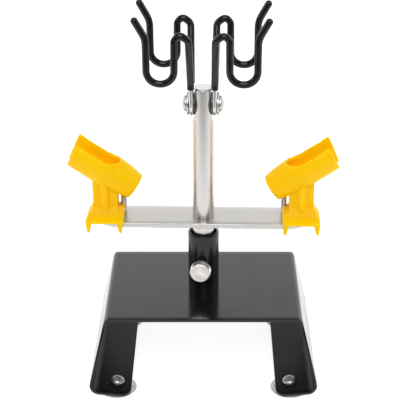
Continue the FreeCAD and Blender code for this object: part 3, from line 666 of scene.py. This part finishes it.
def make_thumb_screw():
    """The knurled knob with chamfered ends, and its threaded shank."""
    turn = axes(SCREW_OUT)
    centre = np.array([0, 0, SCREW_Z])
    radius = (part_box("thumb_screw_knob")[1].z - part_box("thumb_screw_knob")[0].z) / 2
    back, length = 17.5 * MM, 9.0 * MM
    bevel, lip = 1.0 * MM, 0.15 * MM
    dish = 0.16 * MM
    teeth = 66
    front = back + length
    profile = ([(3.1 * MM, back + 0.2 * MM), (radius - bevel - 0.6 * MM, back),
                (radius - bevel, back), (radius - lip, back + bevel * 0.9)]
               + [(radius, back + bevel + k * (length - 2 * bevel) / 8) for k in range(9)]
               + [(radius - lip, front - bevel * 0.9), (radius - bevel, front - 0.02 * MM),
                  (radius - bevel - 0.3 * MM, front),
                  (radius - bevel - 0.9 * MM, front - 0.12 * MM),
                  (radius * 0.5, front - dish), (0.6 * MM, front - dish)])

    def knurl(a, r, z):
        side = np.clip((r - (radius - 0.3 * MM)) / (0.3 * MM), 0, 1)
        tooth = np.abs(np.mod(a * teeth / (2 * math.pi), 1) - 0.5) * 2
        return r - 0.34 * MM * side * np.clip(1.25 * tooth - 0.15, 0, 1), z

    points, faces = turned(profile, teeth * 8, knurl)
    piece("knurled_knob", placed(points, turn, centre), faces, "thumb_screw_knob", KNOB_NICKEL)

    start = 9.05 * MM    # the shank's tip, just clear of the rod
    height = np.linspace(start, back + 3.5 * MM, 132)
    ends = np.clip(np.minimum(height - start, 1.0) / (0.5 * MM), 0, 1)
    profile = np.stack([(2.4 + 0.6 * ends) * MM - 0.01 * MM, height], axis=1)
    points, faces = turned(profile, 48, thread(1.0 * MM, 0.32 * MM))
    piece("thumb_screw_thread", placed(points, turn, centre), faces, "thumb_screw_shank", ZINC)


def thread(pitch, depth):
    """A right-hand thread: the radius falls by depth in a V once in each pitch along a helix."""
    def cut(a, r, z):
        phase = np.mod(z / pitch - a / (2 * math.pi), 1)
        return r - depth * (1 - np.abs(2 * phase - 1)), z
    return cut


# ---- spigot, crossbar and post -----------------------------------------------------------------

def make_spigot():
    low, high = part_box("spigot")
    r = (high.x - low.x) / 2
    ease = 0.5 * MM
    profile = [(0.5 * MM, low.z), (r - 0.8 * MM, low.z), (r, low.z + 0.8 * MM),
               (r, low.z + 30 * MM), (r, high.z - ease - 2 * MM)] + arc((r - ease, high.z - ease),
                                                                         ease, 0, 90)
    points, faces = turned(profile + [(0.5 * MM, high.z)], 128)
    piece("lower_spigot", points, faces, "spigot", POST_STEEL)


def make_post():
    """The upper rod with two milled flats, a chamfered top and a small notch at its foot."""
    low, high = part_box("post")
    r = (high.y - low.y) / 2
    flat = 6.4 * MM
    flat_low, runout = 218.0 * MM, 2.5 * MM
    lip = 0.6 * MM
    profile = ([(0.5 * MM, low.z), (r - 0.25 * MM, low.z), (r, low.z + 0.25 * MM)]
               + [(r, z) for z in np.linspace(low.z + 0.8 * MM, low.z + 4 * MM, 8)]
               + [(r, z) for z in np.linspace(low.z + 10 * MM, flat_low - runout - MM, 12)]
               + [(r, z) for z in np.linspace(flat_low - runout, flat_low + 0.5 * MM, 34)]
               + [(r, z) for z in np.linspace(flat_low + 2 * MM, high.z - lip, 14)]
               + [(r - 0.3 * MM, high.z - 0.2 * MM), (r - lip - 0.1 * MM, high.z),
                  (r - 2 * MM, high.z), (0.6 * MM, high.z)])

    def milled(a, rr, z):
        limit = np.clip(r + (flat - r) * (z - (flat_low - runout)) / runout, flat, r)
        shrink = np.minimum(1, limit / np.maximum(np.abs(rr * np.cos(a)), 1e-9))
        notch_half = 1.0 * MM / r
        off = np.abs(np.mod(a - 1.5 * math.pi + math.pi, 2 * math.pi) - math.pi)
        depth = 1.0 * MM * np.clip(1 - off / notch_half, 0, 1)
        depth = depth * np.clip((low.z + 3.2 * MM - z) / (0.6 * MM), 0, 1) * (rr > r - 0.5 * MM)
        return rr * shrink - depth, z

    points, faces = turned(profile, 288, milled)
    piece("milled_post", placed(points, BAR), faces, "post", POST_STEEL)


def make_crossbar():
    """A flat bar with round ends: the outline of a stadium at each inset, edges rounded."""
    low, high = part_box("crossbar")
    ease = 0.7 * MM
    half, wide = 70.0 * MM, 17.0 * MM
    angle = np.linspace(0, math.pi, 41)
    right = np.stack([np.sin(angle), -np.cos(angle)], axis=1)
    straight = np.linspace(1, -1, 60)[1:-1]

    def outline(radius):
        round_right = np.array([half, 0]) + radius * right
        round_left = np.array([-half, 0]) - radius * right
        top = np.stack([half * straight, np.full(len(straight), radius)], axis=1)
        return np.vstack([round_right, top, round_left, -top])

    steps = ([(0.3 * MM, low.z), (wide * 0.6, low.z)]
             + arc((wide - ease, low.z + ease), ease, -90, 0)
             + arc((wide - ease, high.z - ease), ease, 0, 90)
             + [(wide * 0.6, high.z), (0.3 * MM, high.z)])
    rings = []
    for radius, z in steps:
        flat = outline(radius)
        rings.append(np.column_stack([flat, np.full(len(flat), z)]))
    points, faces = skinned(np.array(rings))
    piece("flat_crossbar", placed(points, BAR), faces, "crossbar", BAR_STEEL)


# ---- hooks -------------------------------------------------------------------------------------

# one arm of a hook, from the loop under its bolt to the tip: distance out from the post's axis,
# distance to the front or rear, height above the pivot, radius of the bend there, in millimetres
ARM = [
    (9.15, 8.2, -8.2, 8.15),
    (9.5, 7.8, 20.5, 14.0),
    (10.2, 23.3, 58.4, 5.5),
    (17.0, 23.6, 63.3, 3.6),
    (21.0, 23.8, 58.6, 5.0),
    (21.3, 23.6, 24.1, 10.4),
    (42.4, 23.6, 24.1, 10.4),
    (42.6, 23.6, 60.0, 20.0),
    (50.4, 24.2, 73.8, 0.0),
]
DIP_START = 13.7
WIRE_R = 1.75 * MM
DIP_R = 2.9 * MM


def arm_points(sign, end):
    return [np.array([sign * out * MM, end * front * MM, PIVOT_Z + up * MM])
            for out, front, up, _ in ARM]


def make_hooks():
    """Each hook is one bright wire looped under its bolt, its two arms dipped in vinyl."""
    radii = [bend * MM for _, _, _, bend in ARM[:-1]]
    for side, sign in SIDES.items():
        front, rear = (arm_points(sign, end) for end in ENDS.values())
        path = rounded(rear[::-1] + front, radii[::-1] + radii, 0.8 * MM)
        shown = path[path[:, 2] < PIVOT_Z + (DIP_START + 6) * MM]
        points, faces = tube(shown, np.full(len(shown), WIRE_R - 0.01 * MM), 32)
        piece(f"hook_{side}_wire", placed(points, BAR), faces, f"hook_wire_{side}", WIRE_STEEL)
        for end, arm in (("front", front), ("rear", rear)):
            share = (DIP_START - ARM[0][2]) / (ARM[1][2] - ARM[0][2])
            begin = arm[0] + (arm[1] - arm[0]) * share
            points, faces = dipped([begin] + arm[1:], radii[1:])
            piece(f"hook_{side}_{end}_dip", placed(points, BAR), faces,
                  f"hook_coat_{side}_{end}", DIP)


def dipped(corners, radii):
    """The vinyl on one arm: it swells softly from the bare wire and ends in a dome.

    Along the arm the radius is the full one less a slow ripple; in the first 0.8 mm and over the
    dome it follows a quarter circle.
    """
    path = rounded(corners, radii)
    ahead = (path[-1] - path[-2]) / np.linalg.norm(path[-1] - path[-2])
    dome = np.sin(np.linspace(0, math.pi / 2, 11))[1:]
    full = np.vstack([path, path[-1] + ahead * DIP_R * dome[:, None]])
    run = np.concatenate([[0], np.cumsum(np.linalg.norm(np.diff(full, axis=0), axis=1))])
    radius = DIP_R - 0.045 * MM * (1 + np.sin(run / (7.3 * MM)) * np.sin(run / (3.1 * MM) + 1))
    start = np.clip(run / (0.8 * MM), 0, 1)
    swell = 0.70 + 0.30 * np.sqrt(1 - (1 - start) ** 2)
    radius = radius * swell
    radius[len(path):] = DIP_R * np.sqrt(np.clip(1 - dome ** 2, 0.0004, 1))
    return tube(full, radius, 36)


def make_hook_hardware():
    """Inner and outer washers and the domed bolts that clamp the hooks to the post's flats."""
    for side, sign in SIDES.items():
        turn = BAR @ axes((sign, 0, 0), (0, 1, 0))
        pivot = np.array([0, 0, PIVOT_Z])
        # The inner washers' dark colour is painted shade for the gap between the flat and the wire.
        for which, metal in (("inner", SHADE_GAP_STEEL), ("outer", ZINC)):
            low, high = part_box(f"hook_{which}_washer_{side}")
            near, far = sorted((abs(low.x), abs(high.x)))
            r = (high.z - low.z) / 2
            spread = 0.26 * MM    # what the bar's turn adds to the box on each side
            near, far = near + spread, far - spread
            ease = 0.25 * MM
            ring = ([(3.2 * MM, near)] + arc((r - ease, near + ease), ease, -90, 0, 4)
                    + arc((r - ease, far - ease), ease, 0, 90, 4) + [(3.2 * MM, far)])
            points, faces = turned(ring, 96, closed_along=True)
            piece(f"{which}_washer_{side}", placed(points, turn, pivot), faces,
                  f"hook_{which}_washer_{side}", metal)
        low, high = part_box(f"hook_bolt_{side}")
        far = max(abs(low.x), abs(high.x)) - 0.03 * MM
        rise, r = 3.6 * MM, (high.z - low.z) / 2
        seat = far - rise
        profile = ([(2.9 * MM, seat - 8 * MM), (2.9 * MM, seat), (r - 0.25 * MM, seat),
                    (r, seat + 0.25 * MM), (r, seat + 1.0 * MM)]
                   + [(r * math.cos(t) ** 0.9, seat + 1.0 * MM + (rise - 1.0 * MM) * math.sin(t))
                      for t in np.radians(np.linspace(8, 66, 9))])
        profile.append((r * 0.40, far))
        points, faces = driven_head(lambda a: hex_edge(a, 2.0 * MM), profile, far, 1.9 * MM)
        piece(f"domed_bolt_{side}", placed(points, turn, pivot), faces, f"hook_bolt_{side}", ZINC)


# ---- plastic holders ---------------------------------------------------------------------------

def make_holders():
    """The moulded holders: the solid's own form with softened edges, and their fasteners."""
    for side in SIDES:
        source = frame["nodes"][f"airbrush_holder_{side}"]
        copy = bpy.data.objects.new(f"mould_{side}", source.data.copy())
        bpy.context.scene.collection.objects.link(copy)
        weld = copy.modifiers.new("merge", "WELD")
        weld.merge_threshold = 0.001 * MM
        voxels = copy.modifiers.new("voxels", "REMESH")
        voxels.mode = "VOXEL"
        voxels.voxel_size = 0.42 * MM
        soften = copy.modifiers.new("soften", "SMOOTH")
        soften.factor = 0.5
        soften.iterations = 5
        graph = bpy.context.evaluated_depsgraph_get()
        mesh = bpy.data.meshes.new_from_object(copy.evaluated_get(graph))
        bpy.data.objects.remove(copy)
        mesh.materials.clear()
        finish_piece(f"moulded_holder_{side}", mesh, f"airbrush_holder_{side}", YELLOW,
                     math.radians(60))

        low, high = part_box(f"stop_pin_{side}")
        centre = (low + high) / 2
        r = (high.x - low.x) / 2
        height = np.linspace(low.z + 4 * MM, high.z, 130)
        top = np.clip((high.z - height) / (0.5 * MM), 0, 1)
        profile = [(r, low.z + 0.05 * MM)] + list(zip(r - 0.4 * MM * (1 - top), height))
        points, faces = turned(profile, 48, thread(0.8 * MM, 0.24 * MM))
        piece(f"stop_stud_{side}", placed(points, move=(centre.x, centre.y, 0)), faces,
              f"stop_pin_{side}", ZINC)

        low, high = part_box(f"holder_screw_{side}")
        centre = (low + high) / 2
        r = (high.x - low.x) / 2
        under = low.z
        seat = under + 2.6 * MM
        flip = np.diag([1.0, -1.0, -1.0])
        head = ([(1.95 * MM, -high.z + 0.2 * MM), (1.95 * MM, -seat), (r - 0.2 * MM, -seat),
                 (r, -seat + 0.2 * MM), (r, -seat + 1.2 * MM)]
                + arc((r - 1.35 * MM, -seat + 1.2 * MM), 1.35 * MM, 15, 80, 6))
        head.append((r * 0.55, -under))
        points, faces = driven_head(lambda a: cross_edge(a, 2.1 * MM, 0.5 * MM), head, -under,
                                    1.3 * MM)
        piece(f"holder_screw_{side}_head", placed(points, flip, (centre.x, centre.y, 0)), faces,
              f"holder_screw_{side}", ZINC)


make_base()
make_feet()
make_sleeve()
make_thumb_screw()
make_spigot()
make_post()
make_crossbar()
make_hooks()
make_hook_hardware()
make_holders()

stud = frame["nodes"]["post_stud"]
stud.data.materials.clear()
stud.data.materials.append(ZINC)


# ---- stage -------------------------------------------------------------------------------------

def make_floor():
    """A plain pale floor far larger than the view, lit evenly, that darkens toward the viewer."""
    mesh = bpy.data.meshes.new("floor")
    reach = 6.0
    mesh.from_pydata([(-reach, -reach, 0), (reach, -reach, 0), (reach, reach, 0),
                      (-reach, reach, 0)], [], [(0, 1, 2, 3)])
    floor = bpy.data.objects.new("floor", mesh)
    bpy.context.scene.collection.objects.link(floor)
    made, tree, shader = material("pale_floor", Specular_IOR_Level=0.2)
    cloud = use(tree, MOTTLE, Scale=3.0, Low=0.0, High=1.0)
    pale = mixed(tree, cloud, (0.60, 0.60, 0.60), (0.62, 0.62, 0.62))
    where = node(tree, "ShaderNodeTexCoord")
    split = node(tree, "ShaderNodeSeparateXYZ")
    tree.links.new(where.outputs["Object"], split.inputs["Vector"])
    dark = (0.10, 0.10, 0.10)
    lit = remap(tree, split.outputs["Y"], -0.62, -0.44, 0.0, 1.0)
    shade = mixed(tree, lit, dark, pale)
    glow = mixed(tree, lit, dark, (1.0, 1.0, 1.0))
    tree.links.new(shade, shader.inputs["Base Color"])
    tree.links.new(glow, shader.inputs["Emission Color"])
    shader.inputs["Roughness"].default_value = 0.9
    shader.inputs["Emission Strength"].default_value = 0.80
    mesh.materials.append(made)


def panel(name, place, size, power):
    """A soft square light that faces the middle of the stand."""
    light = bpy.data.lights.new(name, "AREA")
    light.shape = "SQUARE"
    light.size = size
    light.energy = power
    lamp = bpy.data.objects.new(name, light)
    lamp.location = place
    aim = Vector((0, 0, 0.12)) - Vector(place)
    lamp.rotation_euler = aim.to_track_quat("-Z", "Y").to_euler()
    bpy.context.scene.collection.objects.link(lamp)


def make_studio():
    """A white backdrop that darkens toward the viewer's side, with soft panels above and beside."""
    world = bpy.data.worlds.new("studio")
    world.use_nodes = True
    tree = world.node_tree
    sky = tree.nodes["Background"]
    where = node(tree, "ShaderNodeTexCoord")
    split = node(tree, "ShaderNodeSeparateXYZ")
    tree.links.new(where.outputs["Generated"], split.inputs["Vector"])
    behind = remap(tree, split.outputs["Y"], -0.3, 0.5, 0.14, 1.5)
    low = remap(tree, split.outputs["Z"], 0.49, 0.64, 1.0, 0.13)
    shade = node(tree, "ShaderNodeMath", operation="MULTIPLY")
    tree.links.new(behind, shade.inputs[0])
    tree.links.new(low, shade.inputs[1])
    tree.links.new(shade.outputs["Value"], sky.inputs["Strength"])
    sky.inputs["Color"].default_value = (1, 1, 1, 1)
    bpy.context.scene.world = world
    bpy.context.scene.view_settings.view_transform = "Standard"
    panel("left_panel", (-1.3, -0.2, 0.9), 0.9, 4.0)
    panel("right_panel", (1.3, -0.1, 0.9), 0.9, 4.0)
    panel("top_panel", (0.0, -0.1, 1.9), 1.6, 10.0)
    panel("front_panel", (0.0, -1.5, 1.6), 1.2, 23.0)


def make_camera():
    """The view from in front and above, with a long lens."""
    data = bpy.data.cameras.new("camera")
    data.lens = 114.4
    data.shift_x = -0.0297
    camera = bpy.data.objects.new("camera", data)
    camera.location = (0.0069, -0.9383, 0.5816)
    camera.rotation_euler = (math.radians(90 - 24.93), 0, 0)
    bpy.context.scene.collection.objects.link(camera)
    bpy.context.scene.camera = camera


make_floor()
make_studio()
make_camera()
